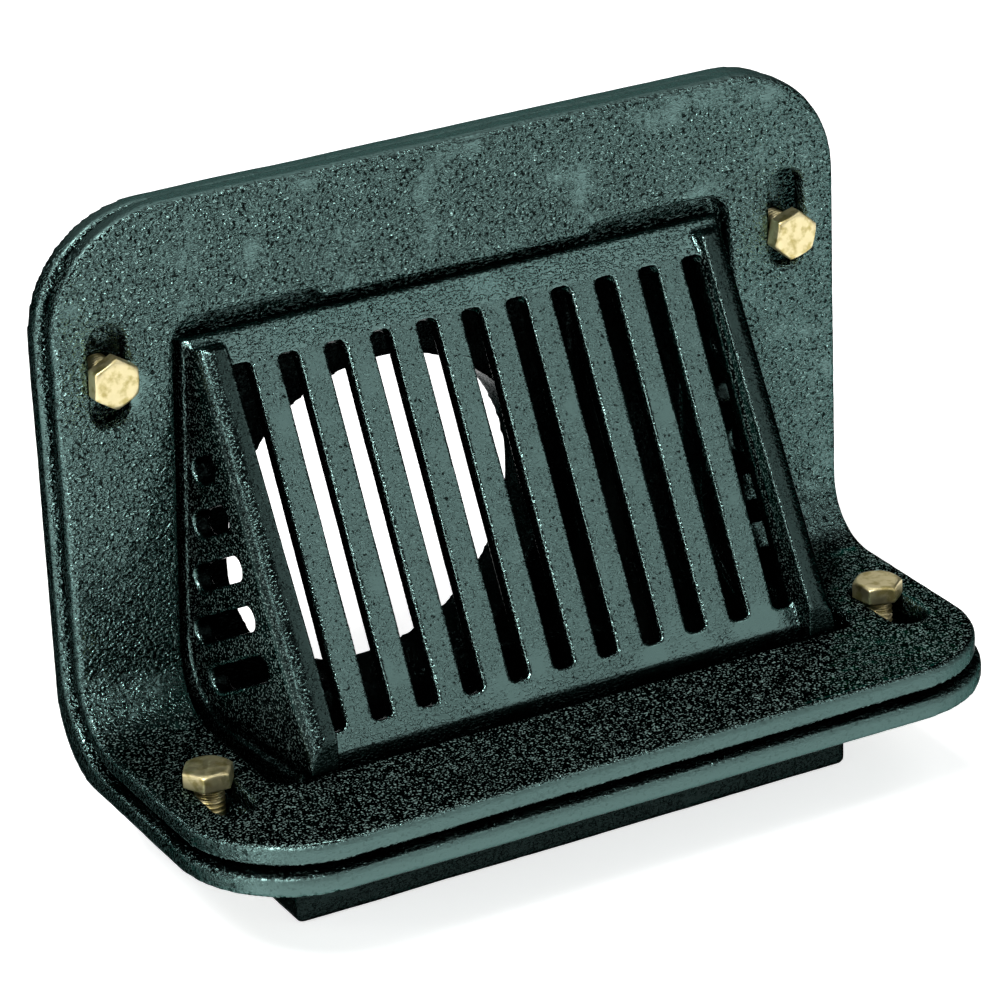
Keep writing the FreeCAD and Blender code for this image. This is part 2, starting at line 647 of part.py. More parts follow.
def add_crests(body):
    """Raised front edge of each cheek: a narrow land, rounded over to the cheek's outer side."""
    ribs = make_sketch(body, "crest_ribs", "XY_Plane")
    lean_sketch(ribs, CREST_SLOPE, {"y": "-dims.crest_foot_reach"})
    inner = "dims.crest_spread / 2"
    outer = "dims.grate_face_width / 2"
    for side in ("-", ""):
        draw_polygon(ribs, [
            (f"{side}{inner}", "0"), (f"{side}{outer}", "0"),
            (f"{side}{outer}", "dims.crest_depth"), (f"{side}{inner}", "dims.crest_depth"),
        ])
    add_pad(body, ribs, f"dims.grate_top / cos({CREST_SLOPE})", midplane=False)
    rounds = make_sketch(body, "crest_rounds", "XY_Plane")
    lean_sketch(rounds, CREST_SLOPE, {"y": "-dims.crest_foot_reach"})
    edge = "(dims.crest_spread / 2 + dims.crest_land)"
    for side in ("-", ""):
        draw_round_over(rounds, side, edge, "(dims.crest_width - dims.crest_land)", "dims.grate_face_width")
    add_pocket(body, rounds, SPAN)
    ends = make_sketch(body, "crest_ends", "YZ_Plane")
    far = "-2 * dims.crest_foot_reach"
    low = "-dims.grate_top / 2"
    rise = "dims.crest_foot_reach / 2"
    draw_polygon(ends, [
        ("-dims.nose_reach", rise), ("-dims.nose_reach", "dims.nose_lift"), ("-dims.foot_reach", "dims.nose_lift"),
        ("-dims.foot_reach", low), (far, low), (far, rise),
    ])
    shoulder = "(dims.grate_top - dims.crest_land)"
    draw_polygon(ends, [
        ("dims.grate_top_setback", "dims.grate_top"), ("-2 * dims.crest_top_reach", shoulder), (far, shoulder),
        (far, "2 * dims.grate_top"), ("dims.grate_top_setback", "2 * dims.grate_top"),
    ])
    add_pocket(body, ends, SPAN)


def make_grate_plinth(doc):
    """Raised border along the back and foot of both cheeks, where they stand on the flange."""
    body = make_body(doc, "grate_plinth")
    foot = "-dims.foot_reach"
    wall = f"({SEAT} - dims.plinth_height)"
    deck = f"(dims.plinth_height - {SEAT})"
    add_wedge(body, "plinth_wedge", "(dims.grate_face_width + 2 * dims.plinth_lip)", [
        (SEAT, "dims.grate_top"), (wall, "dims.grate_top"), (wall, deck), (foot, deck), (foot, f"-{SEAT}"),
        (SEAT, f"-{SEAT}"),
    ])
    corner = edges_near(body, [Vector(0, value_of(body, wall), value_of(body, deck))], X_AXIS)
    add_fillet(body, "plinth_corner", corner, "dims.plinth_round")
    round_heel(body, "plinth_heel")
    round_crown(body, "plinth_crown")
    return body


def make_grate_core(doc):
    """Hollow between the grate's cheeks, with the slots that lead into it."""
    body = make_body(doc, "grate_core")
    skin = f"(dims.grate_wall / cos({SLOPE}))"
    top = "(dims.grate_top - dims.grate_wall)"
    front = "(dims.foot_reach - dims.grate_wall)"
    past = f"(2 * {SEAT})"
    add_wedge(body, "core_wedge", "(dims.grate_face_width - 2 * dims.grate_wall)", [
        (past, top), (f"-dims.foot_reach + ({top} - dims.foot_height) * {SLOPE_RUN} + {skin}", top),
        (f"-{front}", f"dims.foot_height + (dims.grate_wall - {skin}) / {SLOPE_RUN}"), (f"-{front}", f"-{past}"),
        (past, f"-{past}"),
    ])
    add_face_slots(body)
    add_side_slots(body)
    return body


def add_face_slots(body):
    """Row of slots through the sloped face, with the bars between them."""
    slot = make_sketch(body, "face_slot", "XZ_Plane")
    lean_sketch(slot, SLOPE, {"y": "dims.foot_height", "z": "dims.foot_reach"})
    corner = "dims.face_slot_corner"
    middle = "(-dims.face_slot_pitch * (dims.face_slot_count - 1) / 2)"
    half = f"(dims.face_slot_width / 2 - {corner})"
    low = (f"{middle} - {half}", f"dims.face_slot_foot + {corner}")
    high = (f"{middle} + {half}", f"dims.face_slot_foot + dims.face_slot_length - {corner}")
    draw_round_box(slot, low, high, corner)
    first = add_pad(body, slot, "4 * dims.grate_wall")
    row = body.newObject("PartDesign::LinearPattern", "face_slots")
    row.Originals = [first]
    row.Direction = (slot, ["H_Axis"])
    row.setExpression("Length", "dims.face_slot_pitch * (dims.face_slot_count - 1)")
    row.setExpression("Occurrences", "dims.face_slot_count")
    body.Tip = row
    body.Document.recompute()


def add_side_slots(body):
    """Slots through both cheeks, square to the sloped face, from behind it to the plinth."""
    slots = make_sketch(body, "side_slots", "YZ_Plane")
    radius = "dims.side_slot_width / 2"
    for index in range(int(DIMENSIONS["side_slot_count"])):
        down = f"(dims.side_slot_start + {index} * dims.side_slot_pitch)"
        y = f"(-dims.crease_reach - {down} * sin({SLOPE}))"
        z = f"(dims.crease_height - {down} * cos({SLOPE}))"
        to_wall = f"(-dims.side_slot_back - {y}) / cos({SLOPE})"
        to_deck = f"({z} - dims.side_slot_floor) / sin({SLOPE})"
        front = f"(dims.side_slot_front + {radius})"
        back = f"(min({to_wall}; {to_deck}) - {radius})"
        ends = [(f"{y} + {depth} * cos({SLOPE})", f"{z} - {depth} * sin({SLOPE})") for depth in (back, front)]
        draw_slot(slots, ends[0], ends[1], radius)
    add_pad(body, slots, SPAN)


def make_grate(doc):
    """Grate that stands on the flange in the clamp's opening."""
    outside = fuse(doc, "grate_outside", [make_grate_block(doc), make_grate_plinth(doc)])
    return cut(doc, "grate", outside, make_grate_core(doc))


def make_bolt(doc, side, leg, turn):
    """Hex bolt with chamfered head, seated on the clamp's face."""
    blank = doc.addObject("Part::Prism", "bolt_blank")
    blank.Polygon = 6
    blank.setExpression("Circumradius", "dims.bolt_head_flats / sqrt(3)")
    blank.setExpression("Height", "dims.bolt_head_height")
    blank.Placement = Placement(Vector(), Rotation(Z_AXIS, turn))
    chamfer = doc.addObject("Part::Cone", "bolt_chamfer")
    chamfer.setExpression("Radius1", "dims.bolt_head_land / 2 + dims.bolt_head_height * sqrt(3)")
    chamfer.setExpression("Radius2", "dims.bolt_head_land / 2")
    chamfer.setExpression("Height", "dims.bolt_head_height")
    head = doc.addObject("Part::Common", "bolt_head")
    head.Base = blank
    head.Tool = chamfer
    shank = doc.addObject("Part::Cylinder", "bolt_shank")
    shank.setExpression("Radius", "dims.bolt_diameter / 2")
    shank.setExpression("Height", "dims.bolt_length")
    shank.setExpression("Placement.Base.z", "-dims.bolt_length")
    bolt = fuse(doc, "bolt", [head, shank])
    place_on_leg(bolt, side, leg, "0")
    return bolt


def make_bolts(doc):
    """Four bolts as one group of separate solids."""
    group = doc.addObject("Part::Compound", "clamp_bolts")
    group.Links = [make_bolt(doc, side, leg, turn) for (side, leg), turn in zip(BOLT_PLACES, BOLT_TURNS)]
    doc.recompute()
    return group


def main():
    doc = FreeCAD.newDocument("parapet_drain")
    make_sheet(doc)
    nodes = [make_drain_body(doc), make_clamp(doc), make_grate(doc), make_bolts(doc)]
    doc.recompute()
    for item in doc.Objects:
        if "Invalid" in item.State or "Error" in item.State:
            raise RuntimeError(f"{item.Label} failed: {item.State}")
    for node in nodes:
        if node.Shape.isNull() or not node.Shape.isValid():
            raise RuntimeError(f"{node.Label} has no valid shape")
    os.makedirs("parts", exist_ok=True)
    for node in nodes:
        node.Shape.exportStep(f"parts/{node.Label}.step")
        print(node.Label, len(node.Shape.Solids), round(node.Shape.Volume), node.Shape.BoundBox)


main()
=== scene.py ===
import math

import bmesh
import bpy
import numpy as np
from mathutils import Matrix, Vector


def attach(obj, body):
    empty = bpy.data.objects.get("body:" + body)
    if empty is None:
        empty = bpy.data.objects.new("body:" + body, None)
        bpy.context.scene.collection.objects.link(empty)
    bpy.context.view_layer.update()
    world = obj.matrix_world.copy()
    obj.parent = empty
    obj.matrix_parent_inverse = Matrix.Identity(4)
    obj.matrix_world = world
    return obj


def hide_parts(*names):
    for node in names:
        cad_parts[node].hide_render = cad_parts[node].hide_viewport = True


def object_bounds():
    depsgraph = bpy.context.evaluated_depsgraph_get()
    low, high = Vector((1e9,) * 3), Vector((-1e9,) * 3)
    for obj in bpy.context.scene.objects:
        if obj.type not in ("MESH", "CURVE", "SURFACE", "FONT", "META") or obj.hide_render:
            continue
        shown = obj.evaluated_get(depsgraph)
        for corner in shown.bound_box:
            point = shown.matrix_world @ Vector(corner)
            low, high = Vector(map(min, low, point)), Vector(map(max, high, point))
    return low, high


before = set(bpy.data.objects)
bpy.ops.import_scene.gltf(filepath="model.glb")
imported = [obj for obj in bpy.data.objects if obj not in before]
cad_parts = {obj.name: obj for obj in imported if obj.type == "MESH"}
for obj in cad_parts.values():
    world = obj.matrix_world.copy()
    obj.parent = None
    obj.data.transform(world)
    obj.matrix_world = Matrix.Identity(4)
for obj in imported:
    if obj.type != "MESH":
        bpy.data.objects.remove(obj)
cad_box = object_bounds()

# Parapet roof drain, in metres, in the frame of the CAD: +X across, +Y out through the wall, +Z up.

MM = 0.001

# Camera, fitted to the drain's own edges in the photograph
CAMERA_PLACE = (-0.6357, -1.2950, 0.6315)
CAMERA_AZIMUTH = -28.10
CAMERA_ELEVATION = 23.79
CAMERA_ROLL = -2.37
CAMERA_LENS = 171.5

# Bolts: name, middle of the head's underside, leg that it holds, turn of the hex
WALL_FACE = -84.2 * MM
DECK_FACE = -14.8 * MM
BOLT_X = 118.7 * MM
LEFT_BOLT_Z = 97.7 * MM
RIGHT_BOLT_Z = 93.5 * MM
DECK_BOLT_Y = -135.2 * MM
BOLTS = [
    ("wall_bolt_left", (-BOLT_X, WALL_FACE, LEFT_BOLT_Z), "wall", 27),
    ("wall_bolt_right", (BOLT_X, WALL_FACE, RIGHT_BOLT_Z), "wall", 18),
    ("deck_bolt_left", (-BOLT_X, DECK_BOLT_Y, DECK_FACE), "deck", 56),
    ("deck_bolt_right", (BOLT_X, DECK_BOLT_Y, DECK_FACE), "deck", 39),
]
HEAD_FLATS = 14.3 * MM
HEAD_HEIGHT = 5.6 * MM
HEAD_LAND = 13.6 * MM
HEAD_CHAMFER = 30
HEAD_CRISPNESS = 44
HEAD_GRID = (84, 168)
SHANK_RADIUS = 4.75 * MM
SHANK_LENGTH = 25.4 * MM
SHANK_GRID = (150, 56)
THREAD_PITCH = 1.5875 * MM
THREAD_DEPTH = 0.85 * MM
THREAD_CREST = 0.12
THREAD_SLOPE = 0.76
TIP_LENGTH = 1.6 * MM
TIP_DROP = 1.2 * MM

# Grate: a point and the direction of its sloped face and of its right cheek's outside, and where painted
# shade (inside, foot, crests) and painted glints (cheeks) go on it
FACE_POINT = (0, -119.4 * MM, 40.0 * MM)
FACE_DIRECTION = (0, -0.8901, 0.4558)
CHEEK_POINT = (94.6 * MM, -106.3 * MM, 24.8 * MM)
CHEEK_DIRECTION = (0.9936, -0.1008, 0.0516)
GRATE_INSIDE_HEIGHTS = (-11 * MM, 93 * MM)
INSIDE_START = 0.5 * MM
INSIDE_RAMP = 1.2 * MM
FOOT_SHADE = 0.9
CREST_START = 0.8 * MM
CREST_RAMP = 0.8 * MM
# painted glints on the cheeks: how much of the sides gets them
CHEEK_GLINT_SPECKS = 0.75

# Body: box of its catch space, the middle that its inner walls face, its outlet, and where painted shade
# goes on it: inside, under the flange and in the gap under the clamp
CATCH_LOW = (-95 * MM, -144 * MM, -59 * MM)
CATCH_HIGH = (95 * MM, -23 * MM, 93 * MM)
CATCH_MIDDLE = (0, -80 * MM, 5 * MM)
OUTLET_RADIUS = 60 * MM
OUTLET_DEPTH = 27 * MM
FLANGE_UNDERSIDE = -31 * MM
SUMP_RAMP = 1.5 * MM
SUMP_SHADE = 0.95
SUMP_FADE = -58 * MM
SUMP_FADE_LENGTH = 20 * MM
GAP_SHADE = 0.9

# Plates: the ground edges lie beyond the first two, and the flange's back is at the last
EDGE_TOP = 110 * MM
EDGE_FRONT = -160 * MM
EDGE_SHARE = 0.95
WALL_BACK = -67 * MM

# Castings' skin: spacings of its noises, and how the coarser pebbles are weighed and sunk
FINE_PEBBLES = 2.6 * MM
COARSE_PEBBLES = 5.5 * MM
COARSE_SHARE = 0.6
PEBBLE_SINK = 0.6
RIPPLES = 24 * MM

# Enamel: its colours, some of them painted shade, painted glints and a painted highlight, its tint at a low
# angle, how its grain is drawn out, and the sizes of its patterns
# painted shade: black in the pits
PIT_PAINTED_SHADE = (0.006, 0.010, 0.0092)
ENAMEL_DARK = (0.016, 0.027, 0.025)
ENAMEL_GREEN = (0.094, 0.158, 0.148)
ENAMEL_PALE = (0.165, 0.262, 0.245)
# painted shade: black inside the castings, below the flange, at the grate's foot and in the gap under the
# clamp
PAINTED_SHADE_BLACK = (0.010, 0.016, 0.015)
# painted shade: sides that turn along X, and the grate's crests, painted darker
FLANK_PAINTED_SHADE = (0.014, 0.024, 0.022)
EDGE_GREEN = (0.085, 0.143, 0.134)
# painted shade: the clamp's deck and the grate's cheeks painted darker
DECK_PAINTED_SHADE = (0.030, 0.050, 0.046)
# painted glints: pale dots on the clamp's deck and the grate's cheeks
PAINTED_GLINT_PALE = (0.30, 0.43, 0.40)
GRATE_DARK = (0.070, 0.118, 0.110)
GRATE_PALE = (0.115, 0.188, 0.176)
ENAMEL_GRAZING = (0.03, 0.05, 0.048, 1)
GRAIN_DRAW = (0.62, 1.0, 1.0)
GRAIN_SIZE = 0.74 * MM
PIT_SIZE = 1.2 * MM
SPECK_SIZE = 0.58 * MM
PATCH_SIZE = 17 * MM
GLOSS_SIZE = 7 * MM
PEBBLE_SIZE = 4.2 * MM
EDGE_ROUGHNESS = 0.55
SPECK_ROUGHNESS = 0.7

# Floor: its half width, the middle of its white part, and where that ends and the grey begins; painted
# light: the floor glows, most in its white middle
FLOOR_REACH = 6.0
SWEEP_MIDDLE = (0.22, 0.15, -0.0645)
SWEEP_WHITE = 0.6
SWEEP_GREY = 1.0

# Lights: name, place, width and height, power in watts
LIGHT_TARGET = (0, -0.1, 0.03)
LIGHTS = [
    ("key_softbox", (-1.1, -0.9, 1.78), (0.7, 0.7), 46),
    ("front_panel", (0.95, -1.85, 0.98), (1.9, 1.3), 8.5),
    ("upper_panel", (0.95, -0.98, 1.81), (1.1, 0.8), 5.0),
    ("left_strip", (-1.44, -0.66, 0.46), (0.16, 0.9), 5.5),
    ("deck_glint_lamp", (0.36, 0.45, 1.6), (0.22, 0.22), 5),
    ("cheek_glint_lamp", (-1.5, 0.75, 0.4), (0.12, 0.12), 1.6),
    ("back_strip", (0.60, 1.135, 0.88), (0.8, 0.3), 1.6),
]

HASH_STEPS = np.array([73856093, 19349663, 83492791], dtype=np.int64)
HASH_MASK = np.int64(0xFFFFFFFF)


def climb(value, length, most=1.0):
    """Ramp from 0 to a most as a value grows from 0, which would reach 1 over a length."""
    return np.clip(value / length, 0, most)


def lattice_noise(points, spacing, seed):
    """Smooth noise from -1 to 1: a hashed value at each corner of a cubic lattice, blended by smooth
    steps."""
    cell = points / spacing
    base = np.floor(cell).astype(np.int64)
    part = cell - base
    ease = part * part * (3 - 2 * part)
    total = np.zeros(len(points))
    for corner in np.ndindex(2, 2, 2):
        offset = np.array(corner)
        key = ((base + offset) @ HASH_STEPS + seed * 2654435761) & HASH_MASK
        key = ((key ^ (key >> 13)) * 1274126177) & HASH_MASK
        key = ((key ^ (key >> 15)) * 97) & HASH_MASK
        value = ((key >> 7) & 0xFFFF) / 32767.5 - 1
        total += value * np.prod(np.where(offset == 1, ease, 1 - ease), axis=1)
    return total


def read_points(mesh, kind="co"):
    """Vertex places or normals of a mesh as one array of rows."""
    values = np.empty(3 * len(mesh.vertices), dtype=np.float32)
    mesh.vertices.foreach_get(kind, values)
    return values.reshape(-1, 3).astype(float)


def read_edges(mesh):
    """Vertex numbers at the two ends of every edge."""
    values = np.empty(2 * len(mesh.edges), dtype=np.int32)
    mesh.edges.foreach_get("vertices", values)
    return values.reshape(-1, 2)


def evaluated_mesh(piece, name):
    """Mesh of a piece with its modifiers worked in."""
    graph = bpy.context.evaluated_depsgraph_get()
    mesh = bpy.data.meshes.new_from_object(piece.evaluated_get(graph))
    mesh.name = name
    return mesh


def link(name, mesh):
    """Piece at the origin, its place in its mesh."""
    piece = bpy.data.objects.new(name, mesh)
    bpy.context.scene.collection.objects.link(piece)
    return piece


def merged_copy(node):
    """Closed mesh of a CAD node, from a copy whose loose triangles are joined at their corners."""
    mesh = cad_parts[node].data.copy()
    work = bmesh.new()
    work.from_mesh(mesh)
    bmesh.ops.remove_doubles(work, verts=work.verts, dist=0.002 * MM)
    work.to_mesh(mesh)
    work.free()
    mesh.materials.clear()
    return mesh


def keep_edge_shade(mesh):
    """Edge attribute: at each vertex the mean drop of its neighbours below its tangent plane, divided by the
    squared distance, spread twice over the neighbours. Positive on ridges and negative in crevices."""
    points = read_points(mesh)
    normals = read_points(mesh, "normal")
    ends = read_edges(mesh)
    count = len(points)
    degree = np.maximum(np.bincount(ends.ravel(), minlength=count), 1)
    step = points[ends[:, 1]] - points[ends[:, 0]]
    square = np.maximum((step * step).sum(1), 1e-12)
    from_start = -(step * normals[ends[:, 0]]).sum(1) / square
    from_end = (step * normals[ends[:, 1]]).sum(1) / square
    bend = np.bincount(ends[:, 0], from_start, count) + np.bincount(ends[:, 1], from_end, count)
    bend /= degree
    for _ in range(2):
        around = np.bincount(ends[:, 0], bend[ends[:, 1]], count)
        around = around + np.bincount(ends[:, 1], bend[ends[:, 0]], count)
        bend = 0.5 * bend + 0.5 * around / degree
    shade = mesh.attributes.new("edge_shade", "FLOAT", "POINT")
    shade.data.foreach_set("value", (bend * 2 * MM).astype(np.float32))


def depth_behind(points, point, direction):
    """Distance of each place behind a plane."""
    return -(points - np.array(point)) @ np.array(direction)


def grate_painted_shade(points):
    """Share from 0 to 1 of painted shade on the grate, by how far a place is inside it: the lesser of two
    ramps, by depth behind the sloped face and behind the nearer cheek, between the foot and the crown, and a
    ramp down the foot, where the shade under the grate is painted."""
    folded = np.column_stack([np.abs(points[:, 0]), points[:, 1:]])
    depth = np.minimum(depth_behind(points, FACE_POINT, FACE_DIRECTION),
                       depth_behind(folded, CHEEK_POINT, CHEEK_DIRECTION))
    low, high = GRATE_INSIDE_HEIGHTS
    between = (points[:, 2] > low) & (points[:, 2] < high)
    within = climb(depth - INSIDE_START, INSIDE_RAMP) * between
    foot = climb(low - points[:, 2], INSIDE_RAMP, FOOT_SHADE)
    return np.maximum(within, foot)


def body_painted_shade(points, normals):
    """Painted shade on the body: 1 where a place is a wall of the catch space or of the outlet: it lies in
    the space's box and faces the box's middle, or lies within the outlet's radius and faces its axis. The
    sump's outside, in the shade below the flange, gets a share that fades out behind the wall."""
    boxed = ((points > np.array(CATCH_LOW)) & (points < np.array(CATCH_HIGH))).all(axis=1)
    facing = ((np.array(CATCH_MIDDLE) - points) * normals).sum(axis=1) > 0
    radius = np.hypot(points[:, 0], points[:, 2])
    bore = (radius < OUTLET_RADIUS) & (points[:, 1] > -OUTLET_DEPTH)
    inward = points[:, 0] * normals[:, 0] + points[:, 2] * normals[:, 2] < 0
    below = climb(FLANGE_UNDERSIDE - points[:, 2], SUMP_RAMP, SUMP_SHADE)
    below *= climb(SUMP_FADE - points[:, 1], SUMP_FADE_LENGTH)
    return np.maximum((boxed & facing) | (bore & inward), below)


def ground_edge(points, normals):
    """Share by which a place is on a plate's top or front edge: a ramp of how little its normal follows the
    plate's, which is Z on the deck and Y on the wall, fading out where the edge turns to the side."""
    upright = points[:, 2] > 0
    along = np.abs(np.where(upright, normals[:, 1], normals[:, 2]))
    away = (points[:, 2] > EDGE_TOP) | (points[:, 1] < EDGE_FRONT)
    level = climb(0.85 - np.abs(normals[:, 0]), 0.3)
    return climb(0.8 - along, 0.3, EDGE_SHARE) * level * away


def place_shares(node, points, normals):
    """Shares from 0 to 1 by which each place gets painted shade inside the casting or in the gap under the
    clamp, painted shade on a side (a ramp of its normal's size along X, or the grate's crests), painted
    shade with painted glints (the clamp's deck, and less so the cheeks), and by which it is on a plate's
    ground edge. A share that is left out is 0."""
    flank_shade = climb(np.abs(normals[:, 0]) - 0.7, 0.25)
    deck = climb(normals[:, 2] - 0.75, 0.2) * (points[:, 2] < 0)
    if node == "grate":
        crest = climb(-depth_behind(points, FACE_POINT, FACE_DIRECTION) - CREST_START, CREST_RAMP)
        glint_specked = CHEEK_GLINT_SPECKS * flank_shade
        return {"inside": grate_painted_shade(points), "flank_shade": np.maximum(flank_shade, crest), "deck": glint_specked}
    ground = ground_edge(points, normals)
    if node == "flashing_clamp":
        return {"flank_shade": flank_shade, "deck": deck, "ground": ground}
    inside = np.maximum(body_painted_shade(points, normals), GAP_SHADE * deck)
    return {"inside": inside, "flank_shade": flank_shade * (points[:, 1] < WALL_BACK), "ground": ground}


def keep_places(mesh, node):
    """Attributes from the shares of where each vertex is."""
    shares = place_shares(node, read_points(mesh), read_points(mesh, "normal"))
    for name, share in shares.items():
        values = mesh.attributes.new(name, "FLOAT", "POINT")
        values.data.foreach_set("value", share.astype(np.float32))


def cast_skin(node, name, grain, passes, pebble, ripple, seed, keep=1.0):
    """Casting's skin: the node's closed mesh resampled on a lattice of voxels, relaxed so that its edges
    round off, then pushed along its normals by pebble noise (two spacings) and a long ripple, and thinned to
    a share."""
    work = link(name + "_work", merged_copy(node))
    remesh = work.modifiers.new("voxels", "REMESH")
    remesh.mode = "VOXEL"
    remesh.voxel_size = grain
    remesh.adaptivity = 0
    relax = work.modifiers.new("relax", "SMOOTH")
    relax.factor = 0.5
    relax.iterations = passes
    mesh = evaluated_mesh(work, name)
    points = read_points(mesh)
    normals = read_points(mesh, "normal")
    fine = lattice_noise(points, FINE_PEBBLES, seed)
    coarse = lattice_noise(points, COARSE_PEBBLES, seed + 1)
    height = pebble * (fine + COARSE_SHARE * coarse - PEBBLE_SINK)
    height += ripple * lattice_noise(points, RIPPLES, seed + 2)
    points += normals * height[:, None]
    mesh.vertices.foreach_set("co", points.astype(np.float32).ravel())
    mesh.update()
    work.modifiers.clear()
    work.data = mesh
    if keep < 1:
        thin = work.modifiers.new("thin", "DECIMATE")
        thin.ratio = keep
        mesh = evaluated_mesh(work, name)
    bpy.data.objects.remove(work)
    mesh.polygons.foreach_set("use_smooth", np.ones(len(mesh.polygons), dtype=bool))
    keep_edge_shade(mesh)
    keep_places(mesh, node)
    return link(name, mesh)


def grid_mesh(name, parts):
    """One mesh from closed grids, each an array of rings by spokes whose first and last rings shrink to a
    pole."""
    places = []
    faces = []
    for rings in parts:
        first = sum(len(block) for block in places)
        rows, spokes = rings.shape[:2]
        index = first + np.arange(rows * spokes).reshape(rows, spokes)
        ahead = np.roll(index, -1, axis=1)
        quads = np.stack([index[:-1], ahead[:-1], ahead[1:], index[1:]], axis=-1)
        faces.append(quads.reshape(-1, 4))
        places.append(rings.reshape(-1, 3))
    mesh = bpy.data.meshes.new(name)
    mesh.from_pydata(np.concatenate(places).tolist(), [], np.concatenate(faces).tolist())
    work = bmesh.new()
    work.from_mesh(mesh)
    bmesh.ops.remove_doubles(work, verts=work.verts, dist=0.001 * MM)
    bmesh.ops.recalc_face_normals(work, faces=work.faces)
    work.to_mesh(mesh)
    work.free()
    mesh.polygons.foreach_set("use_smooth", np.ones(len(mesh.polygons), dtype=bool))
    return mesh


def hex_head(turn):
    """Bolt head as a distance in every direction from a point inside it: the soft least of the distances to
    six side planes, the top, the underside and a chamfer cone. The soft least of distances is the reciprocal
    of the power sum of their reciprocals."""
    rings, count = HEAD_GRID
    spokes = np.linspace(0, 2 * math.pi, count, endpoint=False)
    fall = np.linspace(0, math.pi, rings)[:, None]
    flat = np.sin(fall) + 0 * spokes
    rise = np.cos(fall) + 0 * spokes
    middle = HEAD_HEIGHT * 0.45
    lean = math.radians(HEAD_CHAMFER)
    cone_height = (HEAD_HEIGHT - middle) * math.cos(lean) + HEAD_LAND / 2 * math.sin(lean)
    inverse = [rise / (HEAD_HEIGHT - middle), -rise / middle]
    inverse.append((flat * math.sin(lean) + rise * math.cos(lean)) / cone_height)
    for side in range(6):
        heading = math.radians(turn + 30 + 60 * side)
        inverse.append(flat * np.cos(spokes - heading) / (HEAD_FLATS / 2))
    total = sum(np.maximum(item, 0) ** HEAD_CRISPNESS for item in inverse)
    reach = total ** (-1 / HEAD_CRISPNESS)
    across = reach * flat
    return np.stack([across * np.cos(spokes), across * np.sin(spokes), middle + reach * rise], axis=-1)


def threaded_shank():
    """Shank whose radius falls by a clipped triangle wave of height minus turn, so that the thread winds
    round it, closed by a pole at each end and tapered at the tip."""
    rows, count = SHANK_GRID
    spokes = np.linspace(0, 2 * math.pi, count, endpoint=False)
    down = np.linspace(0, SHANK_LENGTH, rows)[:, None]
    wave = np.abs(np.mod(down / THREAD_PITCH - spokes / (2 * math.pi), 1) - 0.5) * 2
    radius = SHANK_RADIUS - THREAD_DEPTH * climb(wave - THREAD_CREST, THREAD_SLOPE)
    taper = climb(SHANK_LENGTH - down, TIP_LENGTH)
    radius = np.minimum(radius, SHANK_RADIUS - TIP_DROP * (1 - taper))
    rings = np.stack([radius * np.cos(spokes), radius * np.sin(spokes), -down + 0 * spokes], axis=-1)
    top = np.zeros((1, count, 3))
    tip = np.zeros((1, count, 3))
    tip[..., 2] = -SHANK_LENGTH
    return np.concatenate([top, rings, tip])


def make_bolt(name, place, leg, turn):
    """Hex bolt seated on the clamp, its head out of the wall or up from the deck."""
    mesh = grid_mesh(name, [hex_head(turn), threaded_shank()])
    stand = Matrix.Rotation(math.radians(90), 4, "X") if leg == "wall" else Matrix.Identity(4)
    mesh.transform(Matrix.Translation(Vector(place)) @ stand)
    piece = link(name, mesh)
    piece.data.materials.append(bolt_plating)
    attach(piece, "root")
    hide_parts("clamp_bolts")


def new_material(name):
    """Material with an empty tree, its shader and its Object coordinates."""
    material = bpy.data.materials.new(name)
    material.use_nodes = True
    tree = material.node_tree
    tree.nodes.clear()
    output = tree.nodes.new("ShaderNodeOutputMaterial")
    shader = tree.nodes.new("ShaderNodeBsdfPrincipled")
    tree.links.new(shader.outputs["BSDF"], output.inputs["Surface"])
    coords = tree.nodes.new("ShaderNodeTexCoord")
    return material, tree, shader, coords.outputs["Object"]


def noise(tree, coords, size, detail, roughness=0.5):
    """Noise field whose features are about a size across."""
    node = tree.nodes.new("ShaderNodeTexNoise")
    node.inputs["Scale"].default_value = 1 / size
    node.inputs["Detail"].default_value = detail
    node.inputs["Roughness"].default_value = roughness
    tree.links.new(coords, node.inputs["Vector"])
    return node.outputs["Fac"]


def ramp(tree, value, stops, blending="LINEAR"):
    """Colours or greys by value."""
    node = tree.nodes.new("ShaderNodeValToRGB")
    node.color_ramp.interpolation = blending
    elements = node.color_ramp.elements
    while len(elements) < len(stops):
        elements.new(0.5)
    for element, (position, colour) in zip(elements, stops):
        element.position = position
        element.color = (*colour, 1)
    tree.links.new(value, node.inputs["Fac"])
    return node.outputs["Color"]


def grey(level):
    """Colour with one level in all three channels."""
    return (level, level, level)


def mix(tree, share, first, second):
    """Blend of two colours by a share."""
    node = tree.nodes.new("ShaderNodeMix")
    node.data_type = "RGBA"
    tree.links.new(share, node.inputs["Factor"])
    for colour, name in ((first, "A"), (second, "B")):
        socket = next(item for item in node.inputs if item.name == name and item.type == "RGBA")
        if isinstance(colour, tuple):
            socket.default_value = (*colour, 1)
        else:
            tree.links.new(colour, socket)
    return next(item for item in node.outputs if item.type == "RGBA")


def add_bump(tree, shader, layers):
    """Relief from several fields, each with its own depth."""
    below = None
    for height, depth in layers:
        node = tree.nodes.new("ShaderNodeBump")
        node.inputs["Strength"].default_value = 1.0
        node.inputs["Distance"].default_value = depth
        tree.links.new(height, node.inputs["Height"])
        if below is not None:
            tree.links.new(below, node.inputs["Normal"])
        below = node.outputs["Normal"]
    tree.links.new(below, shader.inputs["Normal"])


def attribute(tree, name):
    """Value of a mesh attribute, 0 where the mesh has none of that name."""
    node = tree.nodes.new("ShaderNodeAttribute")
    node.attribute_name = name
    return node.outputs["Fac"]


def drawn_out(tree, coords, scale):
    """Coordinates scaled by axis, which draws a pattern out along the axes of lesser scale."""
    node = tree.nodes.new("ShaderNodeMapping")
    node.inputs["Scale"].default_value = scale
    tree.links.new(coords, node.inputs["Vector"])
    return node.outputs["Vector"]


